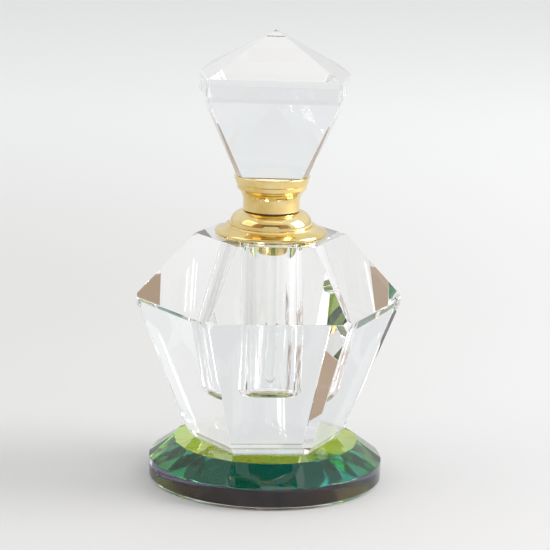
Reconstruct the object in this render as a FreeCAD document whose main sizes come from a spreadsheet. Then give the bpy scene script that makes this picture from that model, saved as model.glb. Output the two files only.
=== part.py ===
"""Crystal perfume bottle with a gold-coloured metal neck and a lift-out dabber stopper.

Millimetres, +Z up, origin at the centre of the underside of the base, front towards -Y.
Every driving dimension is a cell of the sheet "dims"; heights there are above the table.
"""
import FreeCAD, Part
import math
import os

import Sketcher

V = FreeCAD.Vector
UP = V(0, 0, 1)

DIMENSIONS = {
    # base plate and its coating
    "base_rad": 28.0,
    "rim_top": 5.1,
    "base_top": 9.6,
    "table_rad": 22.0,
    "base_facets": 20,
    "base_turn": 7.5,
    "foot_cut": 0.7,
    "coating_thick": 0.1,
    # six-sided body
    "bond_thick": 0.1,
    "bond_rad": 14.2,
    "body_turn": 5.1,
    "heel_rad": 17.3,
    "heel_height": 2.2,
    "lower_rad": 19.2,
    "girdle_rad": 32.2,
    "girdle_level": 44.4,
    "corner_cut": 0.7,
    "top_rad": 18.0,
    "top_level": 59.9,
    "well_rad": 7.4,
    "well_floor": 24.8,
    "well_corner": 2.2,
    # neck collar
    "spigot_rad": 6.6,
    "spigot_length": 6.2,
    "neck_bore_rad": 5.0,
    "epoxy_depth": 2.4,
    "flange_rad": 13.4,
    "flange_edge": 1.0,
    "flange_round": 0.3,
    "dish_rad": 10.8,
    "dish_rise": 0.9,
    "step_rad": 10.4,
    "step_rise": 0.4,
    "dome_rad": 9.8,
    "dome_foot": 0.35,
    "dome_height": 5.6,
    "dome_bulge": 3.3,
    "dome_land": 6.9,
    # cap shell
    "seam": 0.3,
    "waist_rad": 6.75,
    "waist_height": 2.0,
    "flare_rad": 8.1,
    "flare_height": 5.0,
    "flare_curve": 4.0,
    "band_rad": 8.3,
    "band_height": 1.15,
    "ring_rad": 8.95,
    "cup_top": 8.25,
    "cup_taper": 0.2,
    "cup_groove": 0.25,
    "shell_wall": 0.65,
    # plug, seal and rod
    "plug_top": 4.6,
    "stem_rad": 4.65,
    "stem_length": 10.6,
    "rib_rad": 4.95,
    "rib_height": 0.6,
    "rib_pitch": 2.6,
    "ring_gap": 0.05,
    "ring_thick": 0.8,
    "rod_rad": 1.9,
    "rod_tip": 28.3,
    "rod_grip": 8.0,
    # finial
    "finial_bond_thick": 0.1,
    "finial_foot_width": 8.8,
    "finial_foot_side": 2.5,
    "finial_foot_face": 6.9,
    "finial_foot_depth": 5.6,
    "finial_half_width": 17.7,
    "finial_face_half": 15.3,
    "finial_half_depth": 15.0,
    "finial_band_low": 94.2,
    "finial_band_high": 98.4,
    "finial_tip": 108.6,
}

doc = FreeCAD.newDocument("perfume_bottle")


def make_sheet():
    """Keep every driving dimension in one spreadsheet, a row each: its name and its value."""
    sheet = doc.addObject("Spreadsheet::Sheet", "dims")
    for row, (alias, value) in enumerate(DIMENSIONS.items(), start=1):
        sheet.set("A%d" % row, alias)
        sheet.set("B%d" % row, str(value))
        sheet.setAlias("B%d" % row, alias)
    doc.recompute()
    return sheet


dims = make_sheet()


def bind(thing, **rules):
    """Bind properties of an object to expressions over the sheet."""
    for prop, rule in rules.items():
        thing.setExpression(prop.replace("__", "."), rule)


def number(rule):
    """The present value of a sheet expression."""
    value = dims.evalExpression(rule)
    return float(getattr(value, "Value", value))


def origin_feature(body, role):
    return next(f for f in body.Origin.OriginFeatures if f.Role == role)


def arc_between(start, end, radius, side):
    """The minor arc from start to end; side is +1 to bulge left of the way there, -1 right.

    A sketch keeps its arcs anticlockwise, so one that bulges left is stored from end to start.
    """
    chord = end - start
    half = chord.Length / 2
    left = V(-chord.y, chord.x, 0).normalize()
    centre = (start + end) * 0.5 - left * (side * math.sqrt(radius * radius - half * half))
    first, last = (start, end) if side < 0 else (end, start)
    angles = [math.atan2(place.y - centre.y, place.x - centre.x) for place in (first, last)]
    if angles[1] < angles[0]:
        angles[1] += 2 * math.pi
    return Part.ArcOfCircle(Part.Circle(centre, UP, radius), angles[0], angles[1])


def section_sketch(body, name, outline):
    """A closed half-section on the XZ plane.

    outline is a list of (radius rule, level rule) or (radius rule, level rule, arc radius rule,
    side), where the arc runs from that point to the next.
    """
    sketch = body.newObject("Sketcher::SketchObject", name)
    sketch.AttachmentSupport = [(origin_feature(body, "XZ_Plane"), "")]
    sketch.MapMode = "FlatFace"
    places = [V(number(step[0]), number(step[1]), 0) for step in outline]
    for index, step in enumerate(outline):
        start = places[index]
        end = places[(index + 1) % len(places)]
        if len(step) == 4:
            sketch.addGeometry(arc_between(start, end, number(step[2]), step[3]), False)
        else:
            sketch.addGeometry(Part.LineSegment(start, end), False)

    def end_at(index, place):
        curve = sketch.Geometry[index]
        return 1 if curve.StartPoint.distanceToPoint(place) < 1e-6 else 2

    for index, step in enumerate(outline):
        here = end_at(index, places[index])
        before = (index - 1) % len(outline)
        sketch.addConstraint(
            Sketcher.Constraint("Coincident", before, end_at(before, places[index]), index, here))
        if places[index].x < 1e-9:
            sketch.addConstraint(Sketcher.Constraint("PointOnObject", index, here, -2))
        else:
            rule = sketch.addConstraint(
                Sketcher.Constraint("DistanceX", -1, 1, index, here, places[index].x))
            sketch.setExpression("Constraints[%d]" % rule, step[0])
        if places[index].y < 1e-9:
            sketch.addConstraint(Sketcher.Constraint("PointOnObject", index, here, -1))
        else:
            rule = sketch.addConstraint(
                Sketcher.Constraint("DistanceY", -1, 1, index, here, places[index].y))
            sketch.setExpression("Constraints[%d]" % rule, step[1])
        if len(step) == 4:
            rule = sketch.addConstraint(Sketcher.Constraint("Radius", index, number(step[2])))
            sketch.setExpression("Constraints[%d]" % rule, step[2])
    return sketch


def turned(name, outline):
    """A piece turned about Z from its half-section."""
    body = doc.addObject("PartDesign::Body", name)
    body.Label = name
    sketch = section_sketch(body, name + "_section", outline)
    turn = body.newObject("PartDesign::Revolution", name + "_turning")
    turn.Profile = sketch
    turn.ReferenceAxis = (sketch, ["V_Axis"])
    turn.Angle = 360.0
    sketch.Visibility = False
    doc.recompute()
    return body


def base_plate():
    """A round disc whose shoulder is ground to flat facets, set out by a polar pattern."""
    body = turned("base_plate", [
        ("0", "dims.coating_thick"),
        ("dims.base_rad - dims.foot_cut", "dims.coating_thick"),
        ("dims.base_rad", "dims.coating_thick + dims.foot_cut"),
        ("dims.base_rad", "dims.base_top"),
        ("0", "dims.base_top"),
    ])
    wedge = section_sketch(body, "facet_section", [
        ("dims.table_rad", "dims.base_top"),
        ("dims.base_rad", "dims.rim_top"),
        ("dims.base_rad + 2 * dims.foot_cut", "dims.rim_top"),
        ("dims.base_rad + 2 * dims.foot_cut", "dims.base_top + dims.foot_cut"),
        ("dims.table_rad", "dims.base_top + dims.foot_cut"),
    ])
    before = body.Shape.Volume
    facet = body.newObject("PartDesign::Pocket", "facet_cut")
    facet.Profile = wedge
    facet.Midplane = True
    bind(facet, Length="dims.base_rad")
    doc.recompute()
    assert body.Shape.Volume < before, "the facet cut misses the disc"
    ring = body.newObject("PartDesign::PolarPattern", "facet_ring")
    ring.Originals = [facet]
    ring.Axis = (origin_feature(body, "Z_Axis"), [""])
    ring.Angle = 360.0
    bind(ring, Occurrences="dims.base_facets")
    body.Tip = ring
    wedge.Visibility = False
    bind(body, Placement__Rotation__Angle="dims.base_turn")
    body.Placement.Rotation.Axis = UP
    return body


def hexagon(name, radius, level, turn="dims.body_turn"):
    """A level six-sided outline with a corner at the given turn from +X."""
    outline = doc.addObject("Part::RegularPolygon", name)
    outline.Polygon = 6
    outline.Placement.Rotation.Axis = UP
    bind(outline, Circumradius=radius, Placement__Base__z=level, Placement__Rotation__Angle=turn)
    outline.Visibility = False
    return outline


def bottle_body():
    """Two six-sided frusta on a chamfered heel, the girdle's corners cut, and a round well."""
    bottom = "dims.base_top + dims.bond_thick"
    faces = doc.addObject("Part::Loft", "body_facets")
    faces.Sections = [
        hexagon("heel_outline", "dims.heel_rad", bottom),
        hexagon("lower_outline", "dims.lower_rad", bottom + " + dims.heel_height"),
        hexagon("girdle_outline", "dims.girdle_rad", "dims.girdle_level"),
        hexagon("top_outline", "dims.top_rad", "dims.top_level"),
    ]
    faces.Solid = True
    faces.Ruled = True
    corners = doc.addObject("Part::Prism", "corner_limits")
    corners.Polygon = 6
    corners.Placement.Rotation.Axis = UP
    bind(corners, Circumradius="(dims.girdle_rad - dims.corner_cut) / cos(30)",
         Height="dims.top_level + dims.base_top", Placement__Rotation__Angle="dims.body_turn + 30")
    block = doc.addObject("Part::Common", "cut_corners")
    block.Base = faces
    block.Tool = corners
    well = turned("well_space", [
        ("0", "dims.well_floor"),
        ("dims.well_rad - dims.well_corner", "dims.well_floor", "dims.well_corner", -1),
        ("dims.well_rad", "dims.well_floor + dims.well_corner"),
        ("dims.well_rad", "dims.top_level + dims.seam"),
        ("0", "dims.top_level + dims.seam"),
    ])
    body = doc.addObject("Part::Cut", "bottle_body")
    body.Base = block
    body.Tool = well
    return body


def neck_collar():
    """Spigot, thin flange with a shallow dish, a step ring and a rounded dome, bored through."""
    seat = "dims.top_level"
    rim = seat + " + dims.flange_edge"
    dish = rim + " + dims.dish_rise"
    step = dish + " + dims.step_rise"
    return turned("neck_collar", [
        ("dims.neck_bore_rad", seat + " - dims.spigot_length"),
        ("dims.spigot_rad", seat + " - dims.spigot_length"),
        ("dims.spigot_rad", seat),
        ("dims.flange_rad - dims.flange_round", seat, "dims.flange_edge * 0.7", -1),
        ("dims.flange_rad - dims.flange_round", rim, "dims.flange_rad * 0.6", 1),
        ("dims.dish_rad", dish),
        ("dims.dish_rad", dish + " + dims.step_rise * 0.5", "dims.step_rise", -1),
        ("dims.step_rad", step),
        ("dims.dome_rad", step),
        ("dims.dome_rad", step + " + dims.dome_foot", "dims.dome_bulge", -1),
        ("dims.dome_land", seat + " + dims.dome_height"),
        ("dims.neck_bore_rad", seat + " + dims.dome_height"),
    ])


def collar_bond():
    """Ring of epoxy between the spigot and the mouth of the well."""
    low = "dims.top_level - dims.epoxy_depth"
    return turned("collar_bond", [
        ("dims.spigot_rad", low),
        ("dims.well_rad", low),
        ("dims.well_rad", "dims.top_level"),
        ("dims.spigot_rad", "dims.top_level"),
    ])


CAP_FOOT = "dims.top_level + dims.dome_height + dims.seam"


def cap_shell():
    """Spun shell: straight waist, concave flare, a plain band and a ringed cup with a flat seat."""
    wall = " - dims.shell_wall"
    band = CAP_FOOT + " + dims.flare_height"
    ring = band + " + dims.band_height"
    top = CAP_FOOT + " + dims.cup_top"
    return turned("cap_shell", [
        ("dims.waist_rad" + wall, CAP_FOOT),
        ("dims.waist_rad", CAP_FOOT),
        ("dims.waist_rad", CAP_FOOT + " + dims.waist_height", "dims.flare_curve", 1),
        ("dims.flare_rad", band),
        ("dims.band_rad", band + " + dims.cup_groove"),
        ("dims.band_rad", ring),
        ("dims.ring_rad - 2 * dims.cup_taper", ring + " + dims.cup_groove"),
        ("dims.ring_rad", top + " - dims.cup_groove", "dims.cup_groove", -1),
        ("dims.ring_rad - dims.cup_groove", top),
        ("0", top),
        ("0", top + wall),
        ("dims.band_rad" + wall, top + wall),
        ("dims.band_rad" + wall, band + " + dims.cup_groove"),
        ("dims.waist_rad" + wall, CAP_FOOT + " + dims.plug_top"),
    ])


def stopper_plug():
    """Plug with a head pressed into the waist and a ribbed stem for the neck, socketed for the rod."""
    head = CAP_FOOT + " + dims.ring_thick"
    outline = [
        ("0", CAP_FOOT + " + dims.plug_top"),
        ("0", CAP_FOOT + " + dims.rod_grip - dims.stem_length"),
        ("dims.rod_rad", CAP_FOOT + " + dims.rod_grip - dims.stem_length"),
        ("dims.rod_rad", CAP_FOOT + " - dims.stem_length"),
        ("dims.stem_rad", CAP_FOOT + " - dims.stem_length"),
    ]
    for rib in range(3):
        low = CAP_FOOT + " - dims.stem_length + %d * dims.rib_pitch + dims.rib_pitch" % rib
        outline += [
            ("dims.stem_rad", low),
            ("dims.rib_rad", low + " + dims.rib_height * 0.4"),
            ("dims.rib_rad", low + " + dims.rib_height * 0.6"),
            ("dims.stem_rad", low + " + dims.rib_height"),
        ]
    outline += [
        ("dims.stem_rad", head),
        ("dims.waist_rad - dims.shell_wall", head),
        ("dims.waist_rad - dims.shell_wall", CAP_FOOT + " + dims.plug_top"),
    ]
    return turned("stopper_plug", outline)


def sealing_ring():
    """Soft washer round the stem, between the plug's head and the collar's land."""
    low = "dims.top_level + dims.dome_height + dims.ring_gap"
    high = CAP_FOOT + " + dims.ring_thick - dims.ring_gap"
    inner = "dims.neck_bore_rad + dims.ring_gap"
    outer = "dims.waist_rad - dims.shell_wall - 2 * dims.ring_gap"
    return turned("sealing_ring", [(inner, low), (outer, low), (outer, high), (inner, high)])


def dabber_rod():
    """Glass rod with a round tip, held in the plug."""
    return turned("dabber_rod", [
        ("0", "dims.rod_tip", "dims.rod_rad * 1.001", -1),
        ("dims.rod_rad", "dims.rod_tip + dims.rod_rad"),
        ("dims.rod_rad", CAP_FOOT + " + dims.rod_grip - dims.stem_length"),
        ("0", CAP_FOOT + " + dims.rod_grip - dims.stem_length"),
    ])


def disc(name, radius, low, thick):
    """A thin round layer."""
    layer = doc.addObject("Part::Cylinder", name)
    bind(layer, Radius=radius, Height=thick, Placement__Base__z=low)
    return layer


def polyhedron(points, faces):
    """A closed solid from corner points and the corners of each flat face."""
    shell = Part.Shell([Part.Face(Part.makePolygon([points[i] for i in face + face[:1]]))
                        for face in faces])
    solid = Part.Solid(shell)
    if solid.Volume < 0:
        solid.reverse()
    return solid


def mirrored(quarter, level):
    """A plan from the corners of its right-hand back quarter, anticlockwise from the right."""
    half = quarter + [(-along, across) for along, across in reversed(quarter)]
    plan = half[:-1] + [(-along, -across) for along, across in half[:-1]]
    return [V(along, across, level) for along, across in plan]


def finial_foot(scale, level):
    """The ten-sided plan where the finial stands in the cup."""
    width, side, face, depth = (value * scale for value in (
        dims.finial_foot_width, dims.finial_foot_side, dims.finial_foot_face,
        dims.finial_foot_depth))
    lean = (dims.finial_half_width - dims.finial_face_half) / dims.finial_half_depth
    return mirrored([(width, 0), (width - side * lean, side), (face, depth)], level)


def finial_band(level):
    """The six-sided plan at the upright band round the widest part."""
    return mirrored([(dims.finial_half_width, 0),
                     (dims.finial_face_half, dims.finial_half_depth)], level)


def finial():
    """Tapering foot with cut corners, upright band and a pointed six-sided crown."""
    foot_level = number(CAP_FOOT + " + dims.cup_top + dims.finial_bond_thick")
    points = (finial_foot(1, foot_level) + finial_band(dims.finial_band_low)
              + finial_band(dims.finial_band_high) + [V(0, 0, dims.finial_tip)])
    low, high, tip = 10, 16, 22
    faces = [list(range(low - 1, -1, -1))]
    faces += [[0, 1, 11, 10], [1, 2, 11], [2, 3, 12, 11], [3, 4, 12], [4, 5, 13, 12],
              [5, 6, 14, 13], [6, 7, 14], [7, 8, 15, 14], [8, 9, 15], [9, 0, 10, 15]]
    for corner in range(6):
        following = (corner + 1) % 6
        faces.append([low + corner, low + following, high + following, high + corner])
        faces.append([high + corner, high + following, tip])
    crystal = doc.addObject("Part::Feature", "finial")
    crystal.Shape = polyhedron(points, faces)
    return crystal


def finial_bond():
    """Adhesive layer under the finial's foot, a little inside its edge."""
    edge = finial_foot(0.96, number(CAP_FOOT + " + dims.cup_top"))
    face = Part.Face(Part.makePolygon(edge + edge[:1]))
    layer = doc.addObject("Part::Feature", "finial_bond")
    layer.Shape = face.extrude(UP * dims.finial_bond_thick)
    return layer


def build():
    coating_edge = "dims.base_rad - dims.foot_cut - dims.coating_thick"
    pieces = [
        disc("base_coating", coating_edge, "0", "dims.coating_thick"),
        base_plate(),
        disc("base_bond", "dims.bond_rad", "dims.base_top", "dims.bond_thick"),
        bottle_body(),
        collar_bond(),
        neck_collar(),
        sealing_ring(),
        stopper_plug(),
        cap_shell(),
        dabber_rod(),
        finial_bond(),
        finial(),
    ]
    for piece in pieces:
        piece.Label = piece.Name
    doc.recompute()
    return pieces


def check(pieces):
    """Stop on any failed object, or a piece whose shape is missing, invalid or not solid."""
    failed = [thing.Name for thing in doc.Objects
              if "Invalid" in thing.State or "Error" in thing.State]
    for piece in pieces:
        shape = piece.Shape
        if shape.isNull() or not shape.isValid() or len(shape.Solids) != 1 or shape.Volume <= 0:
            failed.append(piece.Label)
    if failed:
        raise RuntimeError("failed objects: " + ", ".join(failed))


def export(pieces):
    os.makedirs("parts", exist_ok=True)
    for piece in pieces:
        piece.Shape.exportStep("parts/%s.step" % piece.Label)
        print("%-14s %10.1f mm3  z %6.2f to %6.2f" % (
            piece.Label, piece.Shape.Volume, piece.Shape.BoundBox.ZMin, piece.Shape.BoundBox.ZMax))


parts_made = build()
check(parts_made)
export(parts_made)
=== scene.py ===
import math

import bmesh
import bpy
from mathutils import Matrix, Vector


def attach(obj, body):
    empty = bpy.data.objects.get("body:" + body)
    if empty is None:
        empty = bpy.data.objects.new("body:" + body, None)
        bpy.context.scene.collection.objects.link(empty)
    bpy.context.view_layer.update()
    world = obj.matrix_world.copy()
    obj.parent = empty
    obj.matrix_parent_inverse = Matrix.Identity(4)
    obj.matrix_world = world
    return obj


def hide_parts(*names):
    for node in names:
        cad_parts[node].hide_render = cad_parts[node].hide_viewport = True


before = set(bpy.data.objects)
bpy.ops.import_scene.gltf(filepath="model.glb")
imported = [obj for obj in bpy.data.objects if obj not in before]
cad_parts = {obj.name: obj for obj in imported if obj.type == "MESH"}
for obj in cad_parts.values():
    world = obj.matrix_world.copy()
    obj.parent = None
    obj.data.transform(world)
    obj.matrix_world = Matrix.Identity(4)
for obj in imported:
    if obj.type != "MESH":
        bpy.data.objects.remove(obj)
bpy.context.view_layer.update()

MM = 0.001


# ------------------------------------------------------------------ camera

CAMERA_DISTANCE = 0.5777          # metres in front of the object's axis
CAMERA_HEIGHT = 0.1809
SENSOR_WIDTH = 36                 # millimetres
FOCAL_LENGTHS = 4.5255            # focal length over image width
CAMERA_PITCH = 0.2232             # radians, looking down
CAMERA_YAW = 0.0022
CAMERA_ROLL = 0.0268


def make_camera():
    """A camera in front of the object, a little above it, rolled slightly as a hand-held one is."""
    data = bpy.data.cameras.new("camera")
    data.sensor_width = SENSOR_WIDTH
    data.lens = SENSOR_WIDTH * FOCAL_LENGTHS
    data.clip_start, data.clip_end = 0.01, 20
    camera = bpy.data.objects.new("camera", data)
    bpy.context.collection.objects.link(camera)
    forward = Vector((math.sin(CAMERA_YAW) * math.cos(CAMERA_PITCH),
                      math.cos(CAMERA_YAW) * math.cos(CAMERA_PITCH), -math.sin(CAMERA_PITCH)))
    right = Vector((math.cos(CAMERA_YAW), -math.sin(CAMERA_YAW), 0))
    up = right.cross(forward)
    right, up = (math.cos(CAMERA_ROLL) * right + math.sin(CAMERA_ROLL) * up,
                 math.cos(CAMERA_ROLL) * up - math.sin(CAMERA_ROLL) * right)
    turn = Matrix((right, up, -forward)).transposed().to_4x4()
    camera.matrix_world = Matrix.Translation((0, -CAMERA_DISTANCE, CAMERA_HEIGHT)) @ turn
    bpy.context.scene.camera = camera


# ------------------------------------------------------------------ node helpers

class Graph:
    """A material's or world's node tree, with short ways to add and join nodes."""

    def __init__(self, tree):
        self.tree = tree
        self.count = 0

    def node(self, kind, inputs=(), **settings):
        made = self.tree.nodes.new("ShaderNode" + kind)
        made.location = (-220 * (1 + self.count % 8), -200 * (self.count // 8))
        self.count += 1
        for key, value in settings.items():
            setattr(made, key, value)
        for socket, value in dict(inputs).items():
            self.put(made.inputs[socket], value)
        return made

    def put(self, socket, value):
        """Joins another node's output to the socket, or sets its value."""
        if isinstance(value, bpy.types.NodeSocket):
            self.tree.links.new(value, socket)
        else:
            socket.default_value = value

    def place(self):
        """The point on the surface, in the object's own coordinates."""
        return self.node("TexCoord").outputs["Object"]

    def maths(self, operation, first, second=0.0, third=0.0):
        return self.node("Math", {0: first, 1: second, 2: third}, operation=operation).outputs[0]

    def distance(self, where, centre):
        return self.node("VectorMath", {0: where, 1: centre}, operation="DISTANCE").outputs["Value"]

    def both(self, *masks):
        """The product of several masks."""
        product = masks[0]
        for mask in masks[1:]:
            product = self.maths("MULTIPLY", product, mask)
        return product

    def spread(self, value, low, high, to_low=0.0, to_high=1.0):
        """value, running smoothly from to_low at low to to_high at high."""
        return self.node("MapRange", {"Value": value, "From Min": low, "From Max": high,
                                      "To Min": to_low, "To Max": to_high},
                         interpolation_type="SMOOTHSTEP").outputs["Result"]

    def noise(self, where, scale, detail=3.0, roughness=0.55):
        return self.node("TexNoise", {"Vector": where, "Scale": scale, "Detail": detail,
                                      "Roughness": roughness}).outputs["Fac"]

    def ramp(self, value, stops):
        made = self.node("ValToRGB", {"Fac": value})
        elements = made.color_ramp.elements
        while len(elements) < len(stops):
            elements.new(0.5)
        for element, (place, colour) in zip(elements, stops):
            element.position = place
            element.color = (*colour, 1)
        return made.outputs["Color"]

    def mix(self, factor, first, second):
        made = self.node("Mix", data_type="RGBA")
        self.put(made.inputs[0], factor)
        self.put(made.inputs[6], (*first, 1) if isinstance(first, tuple) else first)
        self.put(made.inputs[7], (*second, 1) if isinstance(second, tuple) else second)
        return made.outputs[2]


def material(name, build):
    """A new material whose Principled shader is filled in by build(graph, shader)."""
    made = bpy.data.materials.new(name)
    made.use_nodes = True
    build(Graph(made.node_tree), made.node_tree.nodes["Principled BSDF"])
    return made


def settings(shader, **values):
    for socket, value in values.items():
        shader.inputs[socket.replace("_", " ")].default_value = value


# ------------------------------------------------------------------ stage and light

FLOOR_FRONT, FLOOR_BACK = -0.75, 1.0
FLOOR_HALF_WIDTH = 1.5
SWEEP_RADIUS = 0.8                # the paper curves up behind FLOOR_BACK
SWEEP_DEGREES = 30
SWEEP_STEPS = 8
LIGHTS_AIM = Vector((0, 0, 0.06))
STUDIO_STRENGTH = 0.84


def make_stage():
    """A pale paper floor that sweeps up a little at the back, below the viewer's horizon."""
    bm = bmesh.new()
    profile = [(FLOOR_FRONT, 0.0), (FLOOR_BACK, 0.0)]
    for step in range(1, SWEEP_STEPS + 1):
        a = math.radians(SWEEP_DEGREES * step / SWEEP_STEPS)
        profile.append((FLOOR_BACK + SWEEP_RADIUS * math.sin(a), SWEEP_RADIUS * (1 - math.cos(a))))
    rows = [[bm.verts.new((x, y, z)) for x in (-FLOOR_HALF_WIDTH, FLOOR_HALF_WIDTH)]
            for y, z in profile]
    for low, high in zip(rows, rows[1:]):
        bm.faces.new((low[0], low[1], high[1], high[0])).smooth = True
    mesh = bpy.data.meshes.new("floor")
    bm.to_mesh(mesh)
    bm.free()
    floor = bpy.data.objects.new("floor", mesh)
    bpy.context.collection.objects.link(floor)

    def paper(graph, shader):
        place = graph.place()
        settings(shader, Roughness=0.7)
        across, along, _ = graph.node("SeparateXYZ", {0: place}).outputs
        tone = graph.ramp(graph.noise(place, 2.5), [
            (0.35, (0.655, 0.655, 0.655)), (0.65, (0.68, 0.68, 0.68))])
        # painted light: the paper is made lighter to the right, towards the lamp, and lighter towards the
        # back
        tone = graph.mix(graph.spread(across, -0.10, 0.14), tone, (0.725, 0.72, 0.73))
        tone = graph.mix(graph.spread(along, 0.15, 0.6, 0.0, 0.8), tone, (0.85, 0.865, 0.88))
        graph.put(shader.inputs["Base Color"], tone)
    mesh.materials.append(material("paper", paper))


def make_world():
    """A plain bright studio with soft flags in front, to give the crystal and the gold their darks.

    The flags are warm grey at both sides and darker and higher in the middle.
    """
    world = bpy.data.worlds.new("studio")
    world.use_nodes = True
    graph = Graph(world.node_tree)
    toward = graph.node("SeparateXYZ", {0: graph.node("TexCoord").outputs["Generated"]})
    x, y, z = toward.outputs
    sky = graph.mix(graph.spread(x, -0.1, 0.55), (0.95, 0.97, 0.98), (1.12, 1.14, 1.14))
    sky = graph.mix(graph.spread(z, 0.08, 0.36), (0.90, 0.91, 0.92), sky)
    lean = graph.maths("MULTIPLY_ADD", x, 0.35, y)
    wide = graph.maths("ABSOLUTE", x)
    raised = graph.maths("ADD", z, graph.spread(wide, 0.25, 0.45, 0.0, 0.30))
    flags = graph.both(graph.spread(lean, -0.12, -0.35), graph.spread(z, 0.80, 0.60),
                       graph.spread(raised, 0.46, 0.55))
    flag_tone = graph.mix(graph.spread(wide, 0.25, 0.50), (0.16, 0.11, 0.08), (0.50, 0.35, 0.23))
    background = world.node_tree.nodes["Background"]
    graph.put(background.inputs["Color"], graph.mix(flags, sky, flag_tone))
    background.inputs["Strength"].default_value = STUDIO_STRENGTH
    bpy.context.scene.world = world


def panel(name, place, size, power, colour):
    """A soft rectangular light facing the object."""
    data = bpy.data.lights.new(name, "AREA")
    data.shape = "RECTANGLE"
    data.size, data.size_y = size
    data.energy = power
    data.color = colour
    light = bpy.data.objects.new(name, data)
    light.location = place
    light.rotation_mode = "QUATERNION"
    light.rotation_quaternion = (LIGHTS_AIM - Vector(place)).to_track_quat("-Z", "Y")
    bpy.context.collection.objects.link(light)


def make_lights():
    panel("window", (-0.95, -0.25, 0.75), (0.8, 0.8), 2.0, (0.97, 0.99, 1.0))
    panel("overhead", (0.1, 0.0, 1.3), (0.9, 0.9), 1.8, (1.0, 1.0, 1.0))
    panel("lamp", (0.93, 0.02, 0.50), (0.55, 0.65), 8.0, (1.0, 0.985, 0.96))


# ------------------------------------------------------------------ materials

def two_tone(graph, shader, where, scale, detail, dark, light):
    """Base colour that drifts between two tones with a noise."""
    graph.put(shader.inputs["Base Color"], graph.ramp(
        graph.noise(where, scale, detail), [(0.3, dark), (0.7, light)]))


def crystal_look(graph, shader):
    """Clear lead crystal with a faint cool tint and a few handling marks."""
    settings(shader, IOR=1.545, Transmission_Weight=1.0)
    place = graph.place()
    two_tone(graph, shader, place, 60, 4, (0.985, 0.995, 0.995), (1.0, 1.0, 1.0))
    marks = graph.spread(graph.noise(place, 900, 5, 0.7), 0.62, 0.80, 0.0, 0.02)
    graph.put(shader.inputs["Roughness"], marks)


def body_look(graph, shader):
    """The same crystal, with dried brown perfume on one side of the well and painted reflections: olive and
    pale blue lines at the foot.
    """
    crystal_look(graph, shader)
    place = graph.place()
    across, along, height = graph.node("SeparateXYZ", {0: place}).outputs
    flat = graph.node("VectorMath", {0: place, 1: (1, 1, 0)}, operation="MULTIPLY").outputs["Vector"]
    radius = graph.node("VectorMath", {0: flat}, operation="LENGTH").outputs["Value"]
    on_wall = graph.spread(radius, 8.0 * MM, 7.6 * MM)
    on_right = graph.both(graph.spread(across, 5.6 * MM, 6.3 * MM), graph.spread(along, 2.2 * MM, 1.2 * MM))
    lower_half = graph.both(graph.spread(height, 42.5 * MM, 36 * MM),
                            graph.spread(height, 24.5 * MM, 26 * MM))
    drips = graph.node("Mapping", {"Vector": place, "Scale": (1500, 1500, 260)}).outputs[0]
    broken = graph.spread(graph.noise(drips, 1.0, 3), 0.42, 0.54)
    film = graph.both(on_wall, on_right, lower_half, broken)
    spot_centre = (3.5 * MM, -4.0 * MM, 25.1 * MM)
    spot = graph.both(graph.spread(graph.distance(place, spot_centre), 2.0 * MM, 0.6 * MM),
                      graph.spread(graph.noise(place, 900, 2), 0.40, 0.50))
    film = graph.maths("MAXIMUM", film, spot)
    clear = shader.inputs["Base Color"].links[0].from_socket
    # painted reflections: these olive and pale blue bands round the foot are colour standing in for the
    # foot edges' reflections
    painted_foot_reflections = graph.ramp(graph.spread(height, 9.5 * MM, 12.5 * MM), [
        (0.08, (0.45, 0.46, 0.38)), (0.17, (0.78, 0.90, 0.94)), (0.66, (0.84, 0.93, 0.97)),
        (0.73, (0.36, 0.33, 0.16)), (0.83, (0.50, 0.45, 0.26)), (0.90, (1.0, 1.0, 1.0))])
    with_painted_reflections = graph.node("VectorMath", {0: clear, 1: painted_foot_reflections}, operation="MULTIPLY").outputs["Vector"]
    graph.put(shader.inputs["Base Color"], graph.mix(film, with_painted_reflections, (0.36, 0.15, 0.06)))
    graph.put(shader.inputs["Transmission Weight"], graph.spread(film, 0.0, 1.0, 1.0, 0.25))


def coating_look(graph, shader):
    """Iridescent mirror: lime seen steeply, through emerald and teal to violet at a glancing angle."""
    settings(shader, Metallic=1.0, Specular_Tint=(0.42, 0.38, 0.46, 1.0))
    place = graph.place()
    facing = graph.node("LayerWeight", {"Blend": 0.5}).outputs["Facing"]
    drift = graph.maths("MULTIPLY_ADD", graph.noise(place, 70, 2), 0.26, -0.13)
    across, along, _ = graph.node("SeparateXYZ", {0: place}).outputs
    turn = graph.maths("MULTIPLY", graph.maths("ARCTAN2", across, along), 9.0)
    streak = graph.noise(graph.node("CombineXYZ", {0: turn}).outputs[0], 1.0, 1)
    drift = graph.maths("ADD", drift, graph.maths("MULTIPLY_ADD", streak, 0.20, -0.10))
    from_thick_spot = graph.distance(place, (17 * MM, -12 * MM, 0))
    drift = graph.maths("ADD", drift, graph.spread(from_thick_spot, 11 * MM, 4 * MM, 0.0, 0.12))
    hue = graph.ramp(graph.maths("ADD", facing, drift), [
        (0.00, (0.10, 0.05, 0.06)), (0.10, (0.32, 0.22, 0.08)), (0.20, (0.60, 0.72, 0.10)),
        (0.30, (0.42, 0.70, 0.15)), (0.36, (0.15, 0.42, 0.20)), (0.41, (0.07, 0.54, 0.33)),
        (0.53, (0.04, 0.62, 0.54)), (0.64, (0.14, 0.70, 0.78)), (0.78, (0.16, 0.17, 0.26)),
        (1.00, (0.12, 0.11, 0.14))])
    graph.put(shader.inputs["Base Color"], hue)
    graph.put(shader.inputs["Roughness"], graph.spread(graph.noise(place, 400, 4), 0.4, 0.8, 0.02, 0.10))


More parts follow.
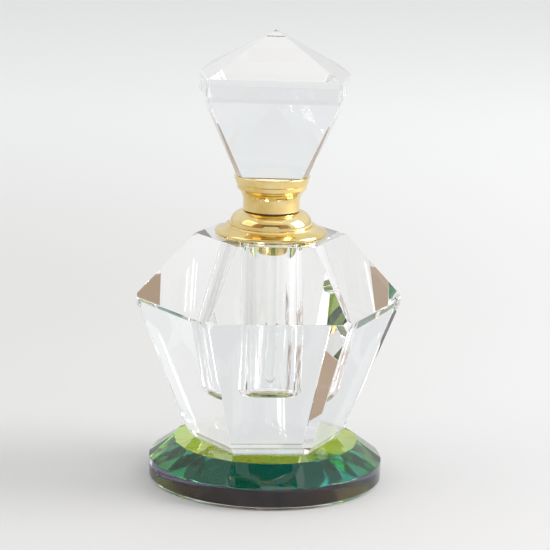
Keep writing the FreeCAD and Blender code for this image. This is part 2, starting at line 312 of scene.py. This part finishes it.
def gold_look(graph, shader):
    """Polished gold plate: turning marks, slight wear and warm tarnish."""
    settings(shader, Metallic=1.0)
    place = graph.place()
    graph.put(shader.inputs["Base Color"], graph.ramp(graph.noise(place, 180, 4), [
        (0.32, (0.77, 0.55, 0.19)), (0.50, (0.86, 0.66, 0.28)), (0.70, (0.92, 0.76, 0.40))]))
    wear = graph.noise(place, 700, 5)
    graph.put(shader.inputs["Roughness"], graph.spread(wear, 0.35, 0.75, 0.05, 0.16))
    squeezed = graph.node("Mapping", {"Vector": place, "Scale": (40, 40, 9000)}).outputs[0]
    lines = graph.noise(squeezed, 1.0, 2)
    bump = graph.node("Bump", {"Strength": 0.10, "Distance": 0.00004, "Height": lines}).outputs[0]
    graph.put(shader.inputs["Normal"], bump)


def plastic_look(graph, shader):
    """Milky polyethylene stopper plug, a little yellowed."""
    settings(shader, Subsurface_Weight=0.3, Subsurface_Scale=0.001, IOR=1.5)
    place = graph.place()
    two_tone(graph, shader, place, 220, 3, (0.78, 0.76, 0.66), (0.88, 0.87, 0.80))
    graph.put(shader.inputs["Roughness"], graph.spread(graph.noise(place, 900, 3), 0.3, 0.7, 0.30, 0.46))


def silicone_look(graph, shader):
    """Clear-grey soft sealing ring with a satin surface."""
    settings(shader, IOR=1.41, Transmission_Weight=0.5)
    place = graph.place()
    two_tone(graph, shader, place, 350, 3, (0.80, 0.79, 0.74), (0.90, 0.90, 0.87))
    satin = graph.noise(place, 1200, 3)
    graph.put(shader.inputs["Roughness"], graph.spread(satin, 0.3, 0.7, 0.35, 0.55))


def rod_look(graph, shader):
    """Drawn clear glass with faint lengthwise streaks."""
    settings(shader, IOR=1.5, Transmission_Weight=1.0)
    place = graph.place()
    drawn = graph.node("Mapping", {"Vector": place, "Scale": (2500, 2500, 40)}).outputs[0]
    two_tone(graph, shader, drawn, 1.0, 2, (0.93, 0.96, 0.94), (1.0, 1.0, 1.0))
    graph.put(shader.inputs["Roughness"], graph.spread(graph.noise(drawn, 1.0, 2), 0.5, 0.8, 0.0, 0.04))


def adhesive_look(graph, shader):
    """Cured clear cement, very faintly yellow."""
    settings(shader, IOR=1.52, Transmission_Weight=1.0)
    place = graph.place()
    two_tone(graph, shader, place, 300, 3, (0.99, 0.985, 0.95), (1.0, 1.0, 0.99))
    bubbles = graph.noise(place, 1500, 3)
    graph.put(shader.inputs["Roughness"], graph.spread(bubbles, 0.6, 0.85, 0.0, 0.04))


# ------------------------------------------------------------------ pieces

SMOOTH_BELOW = math.radians(9)    # edges flatter than this are shaded as one curved surface
FLAT_BELOW = math.radians(0.3)    # faces closer than this to one plane are joined into one
WELD = 2e-6                       # metres
LEVEL_MATCH = 0.01                # millimetres, as are all the sizes below
CRYSTAL_EDGE, METAL_EDGE, ROD_EDGE, NO_EDGE = 0.12, 0.08, 0.05, 0
COATING_TOP = 0.1
BASE_TOP, BODY_FOOT = 9.6, 9.7
FINIAL_FOOT = 74.15
SEATED = 0.02                     # how far cement reaches into the crystal, so no air film shows
COATING_SEATED = 0.015


def finished(node, body, look, edge, shift=None):
    """The CAD node's shape with its flat faces whole and its sharp edges eased by edge millimetres.

    shift maps a height in millimetres to another, to let glued crystal faces touch their cement.
    """
    bm = bmesh.new()
    bm.from_mesh(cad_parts[node].data)
    bmesh.ops.remove_doubles(bm, verts=bm.verts, dist=WELD)
    bmesh.ops.dissolve_limit(bm, angle_limit=FLAT_BELOW, verts=bm.verts, edges=bm.edges)
    if shift:
        for corner in bm.verts:
            corner.co.z = shift(corner.co.z / MM) * MM
    if edge:
        sharp = [e for e in bm.edges if e.is_manifold and e.calc_face_angle() > SMOOTH_BELOW]
        bmesh.ops.bevel(bm, geom=sharp, offset=edge * MM, offset_type="OFFSET", segments=2,
                        profile=0.5, affect="EDGES", clamp_overlap=True)
    for face in bm.faces:
        face.smooth = True
    for e in bm.edges:
        e.smooth = not (e.is_manifold and e.calc_face_angle() > SMOOTH_BELOW)
    mesh = bpy.data.meshes.new(node + "_look")
    bm.to_mesh(mesh)
    bm.free()
    mesh.materials.append(look)
    piece = bpy.data.objects.new(node + "_look", mesh)
    bpy.context.collection.objects.link(piece)
    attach(piece, body)
    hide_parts(node)


def seat(*moves):
    """A shift for finished(): each (height, amount) moves that level by amount, in millimetres."""
    def shift(height):
        for level, amount in moves:
            if abs(height - level) < LEVEL_MATCH:
                return height + amount
        return height
    return shift


def make_pieces():
    stains_and_painted_reflections = material("body_crystal", body_look)
    crystal = material("crystal", crystal_look)
    base = material("base_crystal", crystal_look)
    coating = material("dichroic_coating", coating_look)
    gold = material("gold_plate", gold_look)
    plastic = material("plug_plastic", plastic_look)
    silicone = material("seal_silicone", silicone_look)
    rod = material("rod_glass", rod_look)
    cement = material("clear_cement", adhesive_look)
    finished("base_coating", "bottle", coating, NO_EDGE,
             seat((COATING_TOP, COATING_SEATED)))
    finished("base_plate", "bottle", base, CRYSTAL_EDGE)
    finished("base_bond", "bottle", cement, NO_EDGE,
             seat((BASE_TOP, -SEATED), (BODY_FOOT, SEATED)))
    finished("bottle_body", "bottle", stains_and_painted_reflections, CRYSTAL_EDGE)
    finished("collar_bond", "bottle", cement, NO_EDGE)
    finished("neck_collar", "bottle", gold, METAL_EDGE)
    finished("sealing_ring", "seal", silicone, CRYSTAL_EDGE)
    finished("stopper_plug", "stopper", plastic, METAL_EDGE)
    finished("cap_shell", "stopper", gold, METAL_EDGE)
    finished("dabber_rod", "stopper", rod, ROD_EDGE)
    finished("finial_bond", "stopper", cement, NO_EDGE, seat((FINIAL_FOOT, SEATED)))
    finished("finial", "stopper", crystal, CRYSTAL_EDGE)


CRYSTAL_BOUNCES = 32              # light crosses many facets before it leaves the crystal
GLOSSY_BOUNCES = 16

make_camera()
make_stage()
make_world()
make_lights()
make_pieces()
bpy.context.scene.view_settings.view_transform = "Standard"
bpy.context.scene.cycles.max_bounces = CRYSTAL_BOUNCES
bpy.context.scene.cycles.transmission_bounces = CRYSTAL_BOUNCES
bpy.context.scene.cycles.glossy_bounces = GLOSSY_BOUNCES
